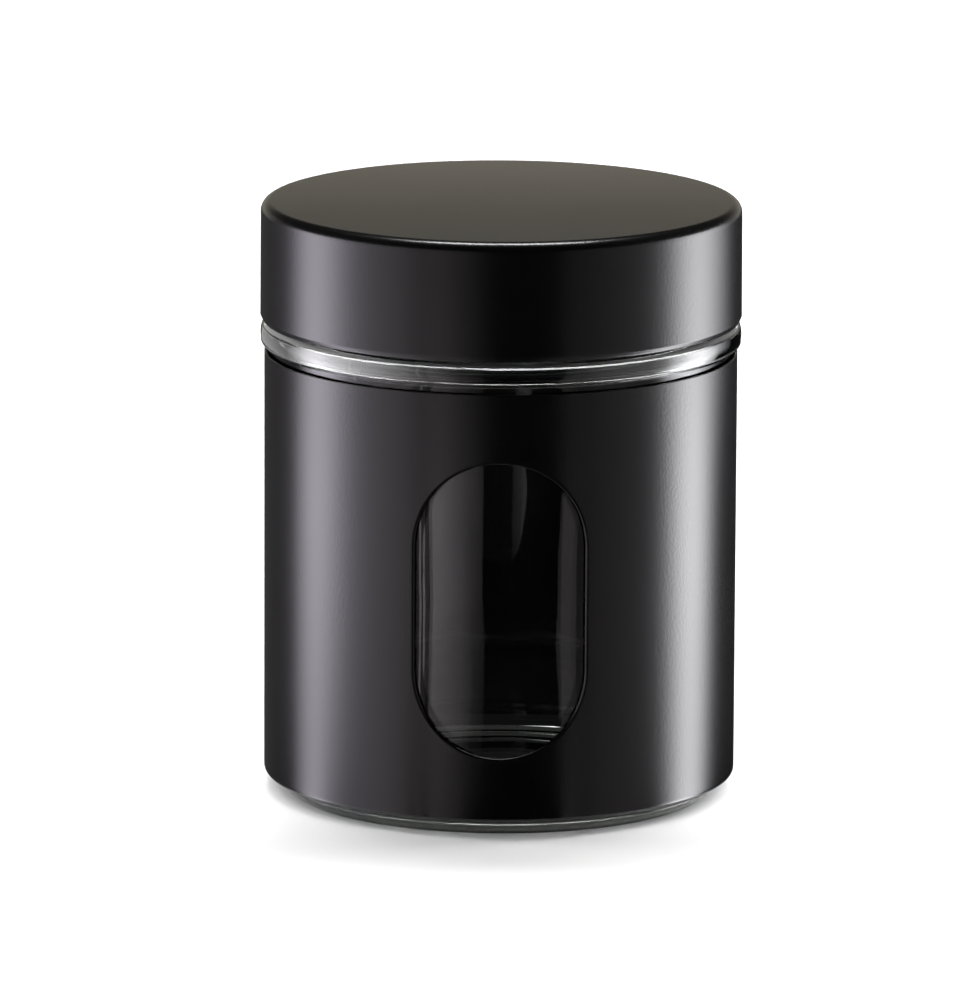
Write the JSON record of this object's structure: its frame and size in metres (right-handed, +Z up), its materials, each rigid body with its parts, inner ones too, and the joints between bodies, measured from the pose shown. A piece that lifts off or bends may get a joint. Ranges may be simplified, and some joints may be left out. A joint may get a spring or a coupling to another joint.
{
  "type": "glass storage jar",
  "caption": "Round glass storage jar in a black sheet-metal sleeve with an oblong window, closed by a flat black metal screw lid with a threaded liner and a seal.",
  "frame": {"origin": "centre of the flat ring that the jar stands on, at the height of the table", "axes": "+Z up along the jar's axis, -Y out of the middle of the window"},
  "size_m": [0.101, 0.101, 0.1255],
  "materials": {
    "glass": "clear, polished, faint green in thick places",
    "sleeve_lacquer": "satin black lacquer",
    "lid_lacquer": "satin black lacquer",
    "liner_plastic": "moulded, fine matt",
    "seal_rubber": "soft, matt, off-white"
  },
  "bodies": {
    "jar": {"glass_jar": "glass", "metal_sleeve": "sleeve_lacquer"},
    "seal": {"lid_seal": "seal_rubber"},
    "lid": {"lid_shell": "lid_lacquer", "lid_liner": "liner_plastic"}
  },
  "joints": [
    {"name": "lid_rise", "type": "slide", "parent": "jar", "child": "seal", "axis": [0, 0, 1], "range_m": [0, 0.03]},
    {"name": "lid_turn", "type": "hinge", "parent": "seal", "child": "lid", "pos_m": [0, 0, 0.1128], "axis": [0, 0, 1], "range_deg": [0, 540]}
  ],
  "couplings": [
    {"joint": "lid_rise", "follows": "lid_turn", "m_per_rad": 0.0031831}
  ]
}
